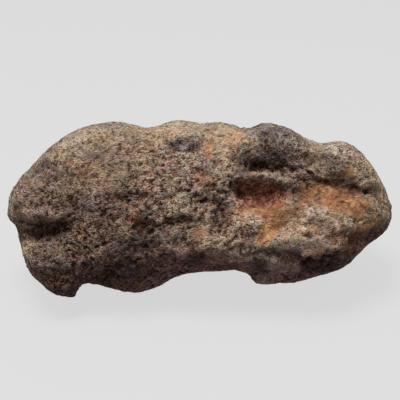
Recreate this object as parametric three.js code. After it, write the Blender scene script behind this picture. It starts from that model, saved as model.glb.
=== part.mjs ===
// A lunar meteorite: one stone of weathered regolith breccia, 150 mm long, in millimetres with +Z up.
// It lies on its long side on three low places: a toe at the front left, a heel under the front
// right, and a broad keel at the back. Its broad front face leans back a little.
//
// The stone is described in the leaning frame of that face: `along` its length, `up` the face and
// `out` of it. A closed outline gives the face its shape, the body swells out of the outline to the
// front and to the back, and lumps, hollows and broken facets are then worked into the body. A
// sphere of triangles is shrunk onto the result.
import * as THREE from "three";
import { ImprovedNoise } from "three/addons/math/ImprovedNoise.js";
import { mergeVertices } from "three/addons/utils/BufferGeometryUtils.js";

// Driving dimensions, in millimetres and degrees.
const LEAN = 25; // the broad face leans back this far from the vertical
const FRONT_DEPTH = 31; // how far the body swells out of the outline's plane towards the front
const BACK_DEPTH = 41; // and towards the back
const EDGE_ROUND = 27; // how far in from the outline the body has its full depth
const SQUARENESS = 2.3; // 2 is an elliptic section, more is squarer
const SIDE_DRAW = 430; // the sides draw in towards the front as if to a point this far out
const RIPPLE_REACH = 16; // how far behind the outline's plane its ripples have run out
const RIPPLE_SLANT = 0.5; // how far along the stone they drift for each millimetre back
const REST_DROP = 32.5; // from the outline plane's middle down to the surface that the stone rests on
const RIM_BLEND = 2; // fillet where a lump is held back inside the outline
const REST_BLEND = 1.5; // fillet round the worn places that the stone rests on
const REST_FLAT = 0.25; // points this near the surface it rests on are worn flat onto it
const RIM_CALM = 7; // the unevenness dies out over this distance towards the outline
const FACET_RUN_OUT = 0.7; // how steeply a broken facet runs out beyond its reach
const BRECCIA_COLOUR = 0x7a6a5a; // weathered tan-brown

// How the sphere of triangles is shrunk onto the stone.
const SPHERE_DETAIL = 20; // 20 * (detail + 1)^2 triangles
const SPHERE_START = [78, 40, 42]; // half-sizes that hold the whole stone, [along, up, out]
const SHRINK_ROUNDS = 70; // steps that the shrinking takes
const WORKING_ROUNDS = 50; // over the first of them the raw body is worked into the stone
const LAST_ROUNDS = 4; // and in the last of them the triangles are hardly evened any more
const EVENING = 0.5; // how far each step draws a point to the middle of its neighbours
const LAST_EVENING = 0.1;
const LONGEST_STEP_IN = 1.5;
const LONGEST_STEP_OUT = 2.5;
const SLOPE_STEP = 0.05; // over which the slope of the distance is measured
const EASING_ROUNDS = 24; // steps in which folded triangles are eased out
const FOLD_DOT = 0.5; // a triangle turned further than this from a corner's normal is folded

// The outline of the broad face, [along, up], clockwise from the left end.
const FACE_OUTLINE = [
  [-75, 1], [-74, 6], [-70, 12], [-65, 17], [-60.5, 22.5], [-56, 26], [-51, 29.5], [-46.5, 31.5],
  [-41.5, 33], [-37, 33.5], [-33, 34.5], [-29, 33.5], [-24, 32], [-19.5, 31], [-16, 32],
  [-12.5, 34], [-7.5, 35], [-3, 34], [1.5, 32.5], [5.5, 34], [9.5, 34], [14.5, 32.5], [19, 31.5],
  [23, 32.5], [25.5, 33], [30, 33], [35.5, 31], [40, 28], [45, 25.5], [49.5, 25.5], [55, 26.5],
  [59, 25.5], [63.5, 21.5], [67, 17.5], [69, 14], [71.5, 9.5], [73.5, 3.5], [75, -2], [74, -6.5],
  [71, -11], [66, -14], [61, -19], [56.5, -23.5], [51, -25.5], [44, -27.5], [38.5, -29],
  [34, -30], [27.5, -29], [21.5, -28], [19, -26], [17, -24.5], [12, -25], [4, -25], [-3.5, -25.5],
  [-9, -26.5], [-13.5, -29], [-15, -31], [-19, -32], [-24.5, -33.5], [-31, -32.5], [-37, -31],
  [-41, -29.5], [-44.5, -29], [-45.5, -30.5], [-46.5, -34], [-49.5, -36], [-54.5, -34], [-59, -32],
  [-63, -29], [-67, -25], [-68.5, -19.5], [-70.5, -12.5], [-72, -6], [-74.5, -2],
];

// The plainer outline that the ripples of the face's outline run out into towards the back.
const BACK_OUTLINE = [
  [-73, -1], [-70, 11], [-62, 21], [-50, 29], [-34, 32.5], [-14, 32], [8, 33], [29, 31], [45, 26],
  [59, 22], [69, 11], [73, -2], [67, -13], [55, -23], [44, -27.5], [34, -29], [14, -24.5],
  [-8, -25.5], [-28, -28.5], [-40, -29], [-51, -32], [-64, -23], [-71, -12],
];

// Lumps that stand out of the body, as blended ellipsoids. `at` is [along, up] on the face, `size`
// the half-sizes [along, up, out], `proud` how far the lump stands out of the body's own surface
// there, `turn` degrees anticlockwise in the face, `tip` degrees that the ellipsoid's outer end is
// tipped down, and `blend` the width of the fillet round it.
const FRONT_LUMPS = [
  { name: "boss", at: [29, 22.5], size: [12, 7.5, 13], proud: 7.5, turn: -8, tip: 5, blend: 3 },
  { name: "top right lobe", at: [54, 16], size: [13, 6.5, 10], proud: 6, turn: -20, blend: 3 },
  { name: "shelf", at: [42, -11.5], size: [25, 7.5, 10], proud: 5, turn: -2, tip: 10, blend: 4 },
  { name: "lower left lobe", at: [-56, -17], size: [12, 6, 10], proud: 6, turn: -10, tip: 10, blend: 3 },
  { name: "toe", at: [-51.5, -28], size: [7.5, 7, 8], proud: 6, turn: -30, blend: 5 },
  { name: "pit lip", at: [20, -4.5], size: [5.5, 3.5, 4], proud: 3, blend: 3 },
  { name: "nose under the boss", at: [34, 11], size: [6, 4.5, 6], proud: 3, turn: -10, blend: 3 },
  { name: "upper knob", at: [-6, 24.5], size: [8, 5.5, 7], proud: 5, blend: 3 },
  { name: "middle knob", at: [-6, -1], size: [5.5, 4, 5], proud: 3.5, blend: 3 },
  { name: "low middle swell", at: [7, -11], size: [12, 4.5, 7], proud: 4, tip: 15, blend: 3 },
  { name: "low left swell", at: [-30, -17], size: [9, 5, 6], proud: 2.5, turn: -8, tip: 10, blend: 3 },
  { name: "upper left swell", at: [-40, 20], size: [16, 8, 9], proud: 3, turn: 15, blend: 6 },
  { name: "left swell", at: [-59, 4], size: [11, 7, 8], proud: 3.5, turn: 5, blend: 4 },
  { name: "left face swell", at: [-38, 2], size: [8, 6, 6], proud: 2, turn: 20, blend: 4 },
];
const BACK_LUMPS = [
  { name: "back shoulder", at: [-30, 8], size: [24, 11, 12], proud: 3, turn: 12, blend: 5 },
  { name: "back hump", at: [36, 2], size: [18, 12, 12], proud: 3, turn: -15, blend: 5 },
  { name: "back keel", at: [-14, -19], size: [22, 5, 9], proud: 2.5, turn: -3, blend: 4 },
  { name: "right heel", at: [36, -27], size: [10, 4.5, 9], proud: 2.5, turn: 5, blend: 4 },
  { name: "back heel", at: [46, -15], size: [13, 7, 9], proud: 4, turn: 8, blend: 4 },
  { name: "back upper knob", at: [14, 21], size: [9, 6, 8], proud: 3, turn: 10, blend: 4 },
];

// Hollows sunk into the body in the same way, with `deep` how far they go under its own surface.
const FRONT_HOLLOWS = [
  { name: "pit", at: [23, 5], size: [9.5, 6, 11], deep: 11, turn: -12, tip: 25, blend: 2.5 },
  { name: "pocket in the pit", at: [18, 6], size: [4.5, 4, 5], deep: 12, tip: 20, blend: 3 },
  { name: "ledge groove", at: [52, 9], size: [14, 2.4, 7], deep: 7, turn: -17, tip: 30, blend: 2.5 },
  { name: "shelf basin", at: [51, 3], size: [17, 7, 9], deep: 4.5, turn: -5, blend: 4 },
  { name: "boss undercut", at: [27, 15], size: [11, 2.2, 5], deep: 3, tip: 25, blend: 2.5 },
  { name: "shelf channel", at: [28.5, -7], size: [8, 2.6, 4], deep: 1.2, turn: 50, blend: 2 },
  { name: "trough", at: [8, 25], size: [8, 9, 9], deep: 2.5, turn: -12, blend: 4 },
  { name: "left groove", at: [-61, -7], size: [14, 3.2, 8], deep: 7, turn: 2, tip: 25, blend: 2.5 },
  { name: "left hollow", at: [-27, 3], size: [4, 2.5, 4], deep: 4, tip: 20, blend: 2.5 },
  { name: "middle hollow", at: [-20.5, -7.5], size: [6, 3.2, 6], deep: 5, tip: 20, blend: 2.5 },
  { name: "knob undercut", at: [-9.5, -5.5], size: [7, 2, 4], deep: 4, turn: 5, tip: 20, blend: 2.5 },
  { name: "cleft", at: [9, -0.5], size: [2.6, 5.5, 6], deep: 5, turn: -12, tip: 10, blend: 2.5 },
  { name: "upper cup", at: [0.5, 12], size: [3, 3.5, 3], deep: 2.5, turn: 20, blend: 2 },
  { name: "cave above the toe", at: [-36, -26], size: [9, 2.2, 8], deep: 9, turn: 4, tip: 10, blend: 3 },
];
const BACK_HOLLOWS = [
  { name: "back saddle", at: [6, 9], size: [7, 13, 10], deep: 5, turn: 24, blend: 4 },
  { name: "back step", at: [-20, -6], size: [22, 3.5, 7], deep: 4, turn: 8, tip: 15, blend: 2 },
  { name: "back upper dish", at: [-12, 22], size: [10, 7, 9], deep: 3, turn: -10, blend: 3 },
  { name: "back pocket", at: [-44, 2], size: [7, 5, 6], deep: 5, turn: 20, tip: 20, blend: 2 },
  { name: "back low pocket", at: [24, -14], size: [9, 4, 6], deep: 4, turn: -12, tip: 20, blend: 2 },
  { name: "small back pocket", at: [52, 11], size: [5, 4, 4], deep: 3, blend: 2 },
];

// Broken facets. Each is a plane that faces outwards along `facing`, [along, up, out]. It passes
// `cut` under the body's surface at `at`, and runs out `reach` away from there.
const FRONT_FACETS = [
  { name: "right underside", at: [38, -22], cut: 4, facing: [0.03, -0.9, 0.43], reach: 20, blend: 2 },
  { name: "middle underside", at: [0, -20], cut: 4, facing: [-0.04, -0.9, 0.43], reach: 15, blend: 2 },
  { name: "left underside", at: [-27, -26], cut: 2, facing: [-0.1, -0.88, 0.46], reach: 11, blend: 2 },
  { name: "right end", at: [64, -9], cut: 2, facing: [0.5, -0.76, 0.42], reach: 10, blend: 2 },
];
const BACK_FACETS = [
  { name: "back upper left", at: [-44, 19], cut: 5, facing: [-0.25, 0.6, -0.76], reach: 20, blend: 3 },
  { name: "back lower right", at: [45, -13], cut: 4.5, facing: [0.3, -0.42, -0.86], reach: 16, blend: 2 },
  { name: "back right end", at: [62, 4], cut: 5, facing: [0.72, 0.15, -0.68], reach: 14, blend: 2 },
  { name: "back top", at: [24, 21], cut: 5, facing: [0.12, 0.7, -0.7], reach: 20, blend: 2 },
  { name: "back left end", at: [-64, -4], cut: 4, facing: [-0.75, -0.2, -0.63], reach: 12, blend: 2 },
  { name: "back middle", at: [6, -4], cut: 3, facing: [0.1, -0.15, -0.98], reach: 14, blend: 2 },
];

// General unevenness: swells `wave` apart that stand out by up to `height`.
const UNEVENNESS = [
  { wave: 16, height: 1.7 },
  { wave: 7.5, height: 1.5 },
];

const RADIANS = Math.PI / 180;
const UP_LEAN = Math.cos(LEAN * RADIANS);
const OUT_LEAN = Math.sin(LEAN * RADIANS);

/** The smaller of two distances, with a fillet `k` wide where they are near each other. */
function blendMin(a, b, k) {
  const h = Math.max(k - Math.abs(a - b), 0) / k;
  return Math.min(a, b) - (h * h * k) / 4;
}

/** The larger of two distances, with a fillet `k` wide where they are near each other. */
function blendMax(a, b, k) {
  return -blendMin(-a, -b, k);
}

/** An outline as short straight pieces, each with its ends, its middle and its length. */
function outlinePieces(outline, count) {
  const corners = outline.map(([along, up]) => new THREE.Vector3(along, up, 0));
  const rim = new THREE.CatmullRomCurve3(corners, true, "centripetal").getSpacedPoints(count);
  return rim.slice(1).map((end, i) => {
    const start = rim[i];
    return { start, end, middle: start.clone().lerp(end, 0.5), length: start.distanceTo(end) };
  });
}

const FACE_RIM = outlinePieces(FACE_OUTLINE, 200);
const BACK_RIM = outlinePieces(BACK_OUTLINE, 80);

/**
 * How far a point lies inside an outline, negative outside. It is the smooth distance that a sum of
 * 1 / r^3 round the outline gives: true near the outline, and with no creases inside.
 */
function rimDistance(rim, along, up) {
  let sum = 0;
  let inside = false;
  for (const { start, end, middle, length } of rim) {
    const x = middle.x - along;
    const y = middle.y - up;
    const r2 = x * x + y * y + 0.05;
    sum += length / (r2 * Math.sqrt(r2));
    if (start.y > up !== end.y > up) {
      const crossing = start.x + ((end.x - start.x) * (up - start.y)) / (end.y - start.y);
      if (along < crossing) inside = !inside;
    }
  }
  const distance = Math.sqrt(2 / sum);
  return inside ? distance : -distance;
}

/** How far inside its outline a point of the stone lies, whichever outline rules at its depth. */
function edgeDistance(along, up, out) {
  if (out >= 0) {
    const draw = 1 + out / SIDE_DRAW;
    return rimDistance(FACE_RIM, along * draw, up * draw);
  }
  const back = THREE.MathUtils.smoothstep(-out, 0, RIPPLE_REACH);
  const slant = along + RIPPLE_SLANT * out;
  const edge = back < 1 ? rimDistance(FACE_RIM, slant, up) * (1 - back) : 0;
  return edge + rimDistance(BACK_RIM, along, up) * back;
}

/** The swollen body alone: about the distance to its surface at `edge` inside the outline. */
function body(edge, out) {
  const depth = out > 0 ? FRONT_DEPTH : BACK_DEPTH;
  const inward = Math.max(1 - edge / EDGE_ROUND, 0);
  const swell = (inward ** SQUARENESS + Math.abs(out / depth) ** SQUARENESS) ** (1 / SQUARENESS);
  return (swell - 1) * EDGE_ROUND;
}

/** Where the body's own surface lies at a point of the face: side is 1 in front and -1 behind. */
function bodySurface(along, up, side) {
  let inside = 0;
  let outside = side * Math.max(FRONT_DEPTH, BACK_DEPTH) * 1.2;
  for (let i = 0; i < 24; i++) {
    const middle = (inside + outside) / 2;
    if (body(edgeDistance(along, up, middle), middle) < 0) inside = middle;
    else outside = middle;
  }
  return inside;
}

/**
 * An ellipsoid's distance function, seated on the body's surface on that side: standing `proud` of
 * it for a lump, `deep` in it for a hollow.
 */
function seatedEllipsoid({ at, size, proud, deep, turn = 0, tip = 0 }, side) {
  const rise = deep === undefined ? proud - size[2] : size[2] - deep;
  const centre = new THREE.Vector3(at[0], at[1], bodySurface(at[0], at[1], side) + side * rise);
  const turned = new THREE.Euler(side * tip * RADIANS, 0, turn * RADIANS, "ZXY");
  const toLocal = new THREE.Matrix4().makeRotationFromEuler(turned).transpose();
  const local = new THREE.Vector3();
  return (along, up, outwards) => {
    local.set(along, up, outwards).sub(centre).applyMatrix4(toLocal);
    const x = local.x / size[0];
    const y = local.y / size[1];
    const z = local.z / size[2];
    const scaled = Math.sqrt(x * x + y * y + z * z);
    const slope = Math.hypot(x / size[0], y / size[1], z / size[2]);
    return slope > 1e-6 ? (scaled * (scaled - 1)) / slope : -Math.min(...size);
  };
}

/** A facet's distance function, positive on the side that is broken away. */
function seatedFacet({ at, cut, facing, reach }, side) {
  const centre = new THREE.Vector3(at[0], at[1], bodySurface(at[0], at[1], side) - side * cut);
  const normal = new THREE.Vector3(...facing).normalize();
  const local = new THREE.Vector3();
  return (along, up, out) => {
    local.set(along, up, out).sub(centre);
    const height = local.dot(normal);
    const beyond = local.addScaledVector(normal, -height).length() - reach;
    return height - Math.max(beyond, 0) * FACET_RUN_OUT;
  };
}

/** The distance functions of a list of features, all on one side of the body. */
function seated(list, side, makeDistance) {
  return list.map((one) => ({ blend: one.blend, distance: makeDistance(one, side) }));
}

const LUMPS = [
  ...seated(FRONT_LUMPS, 1, seatedEllipsoid),
  ...seated(BACK_LUMPS, -1, seatedEllipsoid),
];
const HOLLOWS = [
  ...seated(FRONT_HOLLOWS, 1, seatedEllipsoid),
  ...seated(BACK_HOLLOWS, -1, seatedEllipsoid),
];
const FACETS = [
  ...seated(FRONT_FACETS, 1, seatedFacet),
  ...seated(BACK_FACETS, -1, seatedFacet),
];

const NOISE_PLACE = [31.7, 5.3, 12.9]; // where in the noise this stone's unevenness is taken
const noise = new ImprovedNoise();

/** Unevenness of one size: `wave` is the width of a swell and `height` how far it stands out. */
function uneven(along, up, out, { wave, height }) {
  const [x, y, z] = NOISE_PLACE;
  return height * noise.noise(along / wave + x, up / wave + y, out / wave + z);
}

/** The height of a point of the leaning frame above the surface that the stone rests on. */
function heightAboveRest(up, out) {
  return up * UP_LEAN + out * OUT_LEAN + REST_DROP;
}

/**
 * The stone: about the distance to its surface, negative inside. `worked` runs from 0 for the raw
 * body to 1 for the stone with all its lumps, facets and hollows.
 */
function stone(along, up, out, worked) {
  const edge = edgeDistance(along, up, out);
  const raw = body(edge, out);
  let d = raw;
  for (const lump of LUMPS) d = blendMin(d, lump.distance(along, up, out), lump.blend);
  for (const facet of FACETS) d = blendMax(d, facet.distance(along, up, out), facet.blend);
  for (const hollow of HOLLOWS) d = blendMax(d, -hollow.distance(along, up, out), hollow.blend);
  const calm = THREE.MathUtils.smoothstep(edge, 0, RIM_CALM);
  for (const swell of UNEVENNESS) d -= calm * uneven(along, up, out, swell);
  d = blendMax(d, -edge, RIM_BLEND);
  d = blendMax(d, -heightAboveRest(up, out), REST_BLEND);
  return THREE.MathUtils.lerp(raw, d, worked);
}

/** Puts the slope of the stone's distance at a point into `into`, and returns the distance. */
function slopeAt(p, worked, into) {
  const d = stone(p.x, p.y, p.z, worked);
  into.set(
    stone(p.x + SLOPE_STEP, p.y, p.z, worked) - d,
    stone(p.x, p.y + SLOPE_STEP, p.z, worked) - d,
    stone(p.x, p.y, p.z + SLOPE_STEP, worked) - d,
  );
  into.divideScalar(SLOPE_STEP);
  return d;
}

/** The points next to each point of an indexed mesh. */
function neighboursOf(count, corners) {
  const neighbours = Array.from({ length: count }, () => new Set());
  for (let i = 0; i < corners.length; i += 3) {
    for (let k = 0; k < 3; k++) {
      neighbours[corners[i + k]].add(corners[i + ((k + 1) % 3)]);
      neighbours[corners[i + k]].add(corners[i + ((k + 2) % 3)]);
    }
  }
  return neighbours.map((set) => [...set]);
}

/** The way from a point to the middle of its neighbours. */
function wayToMiddle(points, neighbours, i, into) {
  into.set(0, 0, 0);
  for (const n of neighbours[i]) into.add(points[n]);
  return into.divideScalar(neighbours[i].length).sub(points[i]);
}

/** Shrink the points step by step onto the stone's surface, keeping their triangles even. */
function shrinkOntoStone(points, neighbours) {
  const slope = new THREE.Vector3();
  const way = new THREE.Vector3();
  for (let round = 0; round < SHRINK_ROUNDS; round++) {
    const worked = Math.min(round / WORKING_ROUNDS, 1);
    const even = round < SHRINK_ROUNDS - LAST_ROUNDS ? EVENING : LAST_EVENING;
    const moved = points.map((p, i) => {
      const d = slopeAt(p, worked, slope);
      const steep = Math.max(slope.length(), 0.3);
      slope.normalize();
      wayToMiddle(points, neighbours, i, way);
      way.addScaledVector(slope, -way.dot(slope)).multiplyScalar(even);
      const pull = THREE.MathUtils.clamp(-d / steep, -LONGEST_STEP_IN, LONGEST_STEP_OUT);
      return p.clone().add(way).addScaledVector(slope, pull);
    });
    moved.forEach((p, i) => points[i].copy(p));
  }
}

/** Ease out any triangle that has folded back against the ones round it. */
function easeFolds(points, corners, neighbours) {
  const triangle = new THREE.Triangle();
  const facing = new THREE.Vector3();
  const way = new THREE.Vector3();
  for (let round = 0; round < EASING_ROUNDS; round++) {
    const normals = points.map(() => new THREE.Vector3());
    const facings = [];
    for (let i = 0; i < corners.length; i += 3) {
      triangle.setFromPointsAndIndices(points, corners[i], corners[i + 1], corners[i + 2]);
      triangle.getNormal(facing);
      facings.push(facing.clone());
      for (let k = 0; k < 3; k++) normals[corners[i + k]].add(facing);
    }
    const folded = new Set();
    normals.forEach((normal) => normal.normalize());
    facings.forEach((one, t) => {
      const ends = corners.slice(3 * t, 3 * t + 3);
      if (ends.some((i) => normals[i].dot(one) < FOLD_DOT)) ends.forEach((i) => folded.add(i));
    });
    const moved = [...folded].map((i) => [i, wayToMiddle(points, neighbours, i, way).clone()]);
    moved.forEach(([i, step]) => points[i].addScaledVector(step, 0.5));
  }
}

/** A sphere of even triangles, shrunk onto the stone's surface. */
function shrunkSphere() {
  const sphere = new THREE.IcosahedronGeometry(1, SPHERE_DETAIL);
  sphere.deleteAttribute("normal");
  sphere.deleteAttribute("uv");
  const mesh = mergeVertices(sphere, 1e-5);
  const start = new THREE.Vector3(...SPHERE_START);
  const points = [];
  const position = mesh.getAttribute("position");
  for (let i = 0; i < position.count; i++) {
    points.push(new THREE.Vector3().fromBufferAttribute(position, i).multiply(start));
  }
  const corners = Array.from(mesh.index.array);
  const neighbours = neighboursOf(points.length, corners);
  shrinkOntoStone(points, neighbours);
  easeFolds(points, corners, neighbours);
  points.forEach((p, i) => position.setXYZ(i, p.x, p.y, p.z));
  return mesh;
}

/** The stone's geometry in the part's frame: upright, centred, and flat where it touches its rest. */
function stoneGeometry() {
  const geometry = shrunkSphere();
  const leaning = new THREE.Matrix4().makeRotationX((90 - LEAN) * RADIANS);
  geometry.applyMatrix4(leaning);
  geometry.translate(0, 0, REST_DROP);
  const position = geometry.getAttribute("position");
  for (let i = 0; i < position.count; i++) {
    if (position.getZ(i) < REST_FLAT) position.setZ(i, 0);
  }
  geometry.computeBoundingBox();
  const middle = geometry.boundingBox.getCenter(new THREE.Vector3());
  geometry.translate(-middle.x, -middle.y, 0);
  geometry.computeVertexNormals();
  return geometry;
}

const breccia = new THREE.MeshStandardMaterial({ color: BRECCIA_COLOUR, roughness: 0.95, metalness: 0 });
const meteorite = new THREE.Mesh(stoneGeometry(), breccia);
meteorite.name = "meteorite";

const part = new THREE.Group();
part.add(meteorite);

export default part;
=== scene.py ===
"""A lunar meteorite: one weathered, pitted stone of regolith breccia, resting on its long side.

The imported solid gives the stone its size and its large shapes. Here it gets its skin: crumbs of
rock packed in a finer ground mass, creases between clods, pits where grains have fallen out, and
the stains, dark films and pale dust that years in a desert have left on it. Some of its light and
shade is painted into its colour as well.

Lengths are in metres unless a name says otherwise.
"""

from __future__ import annotations

import logging
import math
from dataclasses import dataclass, field
from enum import Enum
from typing import Any

import bpy
import numpy as np
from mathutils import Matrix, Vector

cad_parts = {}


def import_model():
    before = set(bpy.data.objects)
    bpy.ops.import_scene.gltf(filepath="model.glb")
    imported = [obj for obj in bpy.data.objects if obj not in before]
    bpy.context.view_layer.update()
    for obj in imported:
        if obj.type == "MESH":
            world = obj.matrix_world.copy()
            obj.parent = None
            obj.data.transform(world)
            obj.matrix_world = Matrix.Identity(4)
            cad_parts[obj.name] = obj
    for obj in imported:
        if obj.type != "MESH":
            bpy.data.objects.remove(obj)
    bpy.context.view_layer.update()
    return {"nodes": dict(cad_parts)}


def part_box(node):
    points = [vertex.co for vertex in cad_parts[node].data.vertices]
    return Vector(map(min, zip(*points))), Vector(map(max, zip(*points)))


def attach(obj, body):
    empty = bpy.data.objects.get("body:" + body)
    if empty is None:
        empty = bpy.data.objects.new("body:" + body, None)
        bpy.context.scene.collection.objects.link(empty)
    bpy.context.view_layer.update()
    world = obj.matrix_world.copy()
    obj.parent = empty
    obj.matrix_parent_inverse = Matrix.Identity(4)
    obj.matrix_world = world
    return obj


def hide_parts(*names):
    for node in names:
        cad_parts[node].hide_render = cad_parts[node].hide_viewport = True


MM = 0.001
WHITE = (1.0, 1.0, 1.0, 1.0)
BLACK = (0.0, 0.0, 0.0, 1.0)
log = logging.getLogger("meteorite")

Array = np.ndarray
Box = tuple[Vector, Vector]
Link = bpy.types.Node | bpy.types.NodeSocket
# A ramp's places and their hex colours.
Stops = tuple[tuple[float, str], ...]
# Names of patterns, and how much each of them adds.
Shares = tuple[tuple[str, float], ...]
# Patterns, and how much of each is added.
Parts = list[tuple[Link, float]]
# What a node is given: its settings, the values of its sockets, and what feeds them.
Inputs = dict[str | int, Any]


def linear(hex_colour: str) -> tuple[float, float, float, float]:
    """Turn an sRGB hex colour into a linear one.

    Args:
        hex_colour: Six hex digits, with or without a leading hash.

    Returns:
        Red, green, blue and an alpha of 1, in linear light.
    """
    digits = hex_colour.lstrip("#")
    parts = [int(digits[i : i + 2], 16) / 255 for i in (0, 2, 4)]
    red, green, blue = (p / 12.92 if p <= 0.04045 else ((p + 0.055) / 1.055) ** 2.4 for p in parts)
    return red, green, blue, 1.0


def smoothstep(low: float, high: float, value: Array) -> Array:
    """Run smoothly from 0 at low to 1 at high.

    Args:
        low: Where the result is still 0.
        high: Where the result has reached 1.
        value: The numbers to place between them.

    Returns:
        An array from 0 to 1.
    """
    t = np.clip((value - low) / (high - low), 0.0, 1.0)
    return t * t * (3.0 - 2.0 * t)


def lot(cells: Array, seed: int) -> Array:
    """Draw a fixed random number for each cell of a grid, by stirring its coordinates' bits.

    Args:
        cells: Whole-number cell coordinates, in the last axis of three.
        seed: Which of the random fields to draw from.

    Returns:
        Numbers from 0 to 1, one for each cell.
    """
    x, y, z = (cells[..., i].astype(np.uint64) for i in range(3))
    h = x * np.uint64(0x9E3779B97F4A7C15) ^ y * np.uint64(0xC2B2AE3D27D4EB4F)
    h ^= z * np.uint64(0x165667B19E3779F9) ^ np.uint64(seed * 0x27D4EB2F + 0x1234567)
    h ^= h >> np.uint64(29)
    h *= np.uint64(0xBF58476D1CE4E5B9)
    h ^= h >> np.uint64(32)
    h *= np.uint64(0x94D049BB133111EB)
    h ^= h >> np.uint64(29)
    return (h >> np.uint64(11)).astype(np.float64) / float(1 << 53)


@dataclass(frozen=True)
class Swells:
    """Smooth random unevenness with swells of one width. The gain brings its tops to about 1."""

    wave: float
    seed: int
    gain: float = 1.6

    def at(self, points: Array) -> Array:
        """Measure the unevenness.

        Args:
            points: Places, one to a row.

        Returns:
            Heights from about -1 to 1, one for each place.
        """
        place = points / self.wave
        cell = np.floor(place).astype(np.int64)
        inner = place - cell
        ease = inner**3 * (inner * (inner * 6 - 15) + 10)
        total = np.zeros(len(points))
        for corner in np.ndindex(2, 2, 2):
            at_corner = cell + corner
            weight = np.prod(np.where(corner, ease, 1 - ease), axis=1)
            slope = np.stack([lot(at_corner, self.seed + k) for k in range(3)], 1) * 2 - 1
            slope /= np.maximum(np.linalg.norm(slope, axis=1), 1e-9)[:, None]
            total += weight * np.einsum("ij,ij->i", slope, inner - corner)
        return total * self.gain

    def ways(self, points: Array) -> Array:
        """Measure three unevennesses at once, as a way to shift each point."""
        return np.stack([Swells(self.wave, self.seed + 31 * k).at(points) for k in (1, 2, 3)], 1)

    def clods(self, points: Array) -> Array:
        """Fold the swells at 0, so that flat clods meet in sharp creases between them."""
        return np.minimum(np.abs(self.at(points)), 0.5) * 2 - 0.45

    def ridges(self, points: Array) -> Array:
        """Fold the swells the other way up, so that sharp ridges stand on level ground."""
        return 0.35 - np.minimum(np.abs(self.at(points)) * 2, 1)


@dataclass(frozen=True)
class Crumbs:
    """Random grains packed in space, each about one size across, with their tops tilted."""

    size: float
    seed: int
    tilt: float = 1.5

    def facets(self, points: Array) -> Array:
        """Measure a skin of broken grains, each with a flat top tilted its own way.

        Args:
            points: Places, one to a row.

        Returns:
            Heights from about -1 to 1, one for each place.
        """
        place = points / self.size
        cell = np.floor(place).astype(np.int64)
        nearest = np.full(len(points), np.inf)
        height = np.zeros(len(points))
        for step in np.ndindex(3, 3, 3):
            near = cell + (np.array(step) - 1)
            middle = near + np.stack([lot(near, self.seed + k) for k in range(3)], 1)
            slope = np.stack([lot(near, self.seed + 5 + k) for k in range(3)], 1) * 2 - 1
            away = place - middle
            distance = np.linalg.norm(away, axis=1)
            closer = distance < nearest
            rise = np.einsum("ij,ij->i", away, slope) * self.tilt
            height = np.where(closer, lot(near, self.seed + 3) * 2 - 1 + rise, height)
            nearest = np.where(closer, distance, nearest)
        return height


@dataclass(frozen=True)
class Face:
    """The stone's leaning frame: along its length, up its broad face, and out of that face.

    Places on the face are given as they spread to the eye of someone holding it at arm's length,
    so that a mark near the viewer covers a little less of the stone than one further back.
    """

    lean_degrees: float = 25.0
    # Where along, up and out are 0, from the middle of the stone's box.
    start: tuple[float, float, float] = (-0.7 * MM, -4.65 * MM, -2.44 * MM)
    # How far off the eye is, and how far along and up the point is that it looks at.
    reach: float = 433 * MM
    eye: tuple[float, float] = (0.3 * MM, 3.2 * MM)

    def axes(self) -> tuple[Array, Array, Array]:
        """Work out the frame's directions.

        Returns:
            The directions along, up and out, each of length 1.
        """
        lean = math.radians(self.lean_degrees)
        up = np.array([0.0, math.sin(lean), math.cos(lean)])
        out = np.array([0.0, -math.cos(lean), math.sin(lean)])
        return np.array([1.0, 0.0, 0.0]), up, out

    def origin(self, box: Box) -> Array:
        """Give the point of the part's frame where along, up and out are 0."""
        return (np.array(box[0]) + np.array(box[1])) / 2 + np.array(self.start)

    def sight(self, box: Box) -> Array:
        """Give the point of the part's frame that the eye looks at."""
        along, up, _ = self.axes()
        return self.origin(box) + self.eye[0] * along + self.eye[1] * up

    def read(self, points: Array, box: Box) -> tuple[Array, Array, Array]:
        """Turn places in the part's frame into places on the face.

        Args:
            points: Places, one to a row.
            box: The stone's lowest and highest corners.

        Returns:
            How far along, up and out each place is.
        """
        origin = self.origin(box)
        along, up, out = (((points - origin) @ axis) for axis in self.axes())
        spread = self.reach / (self.reach - out)
        return (
            (along - self.eye[0]) * spread + self.eye[0],
            (up - self.eye[1]) * spread + self.eye[1],
            out,
        )


class Tint(Enum):
    """What a mark on the stone is made of."""

    # Film marks also carry painted shade, pale and tan marks painted light, and shade marks are
    # painted shade only.
    RUST = "rust"
    IRON = "iron"
    FILM = "film"
    PALE = "pale"
    TAN = "tan"
    SHADE = "shade"


class Side(Enum):
    """Which side of the stone a patch lies on."""

    FRONT = 1
    BACK = -1
    BOTH = 0


@dataclass(frozen=True)
class Patch:
    """A soft oval patch on the face, in millimetres and degrees.

    The amount is how strongly it tints the stone, or how deep it cuts in: a patch that stands out
    has a negative one. It lies at a place along and up the face, its size is half its length and
    half its width, and its edge is how much of that fades.
    """

    amount: float
    at: tuple[float, float]
    size: tuple[float, float]
    turn: float = 0.0
    edge: float = 0.5
    side: Side = Side.FRONT

    def cover(self, along: Array, up: Array, out: Array) -> Array:
        """Measure how much of the patch each place gets.

        Args:
            along: How far along the face each place is, in millimetres.
            up: How far up it, in millimetres.
            out: How far out of it, in millimetres.

        Returns:
            From 0, outside it, to its amount.
        """
        turn = math.radians(self.turn)
        x, y = along - self.at[0], up - self.at[1]
        length = (x * math.cos(turn) + y * math.sin(turn)) / self.size[0]
        width = (y * math.cos(turn) - x * math.sin(turn)) / self.size[1]
        oval = 1 - smoothstep(1 - self.edge, 1 + self.edge, np.hypot(length, width))
        if self.side is not Side.BOTH:
            oval = oval * smoothstep(-4.0, 2.0, out * self.side.value)
        return self.amount * oval


@dataclass(frozen=True)
class Cut(Patch):
    """A patch that is cut in or stands out, and fades a little more than a stain does."""

    edge: float = 0.6


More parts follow.
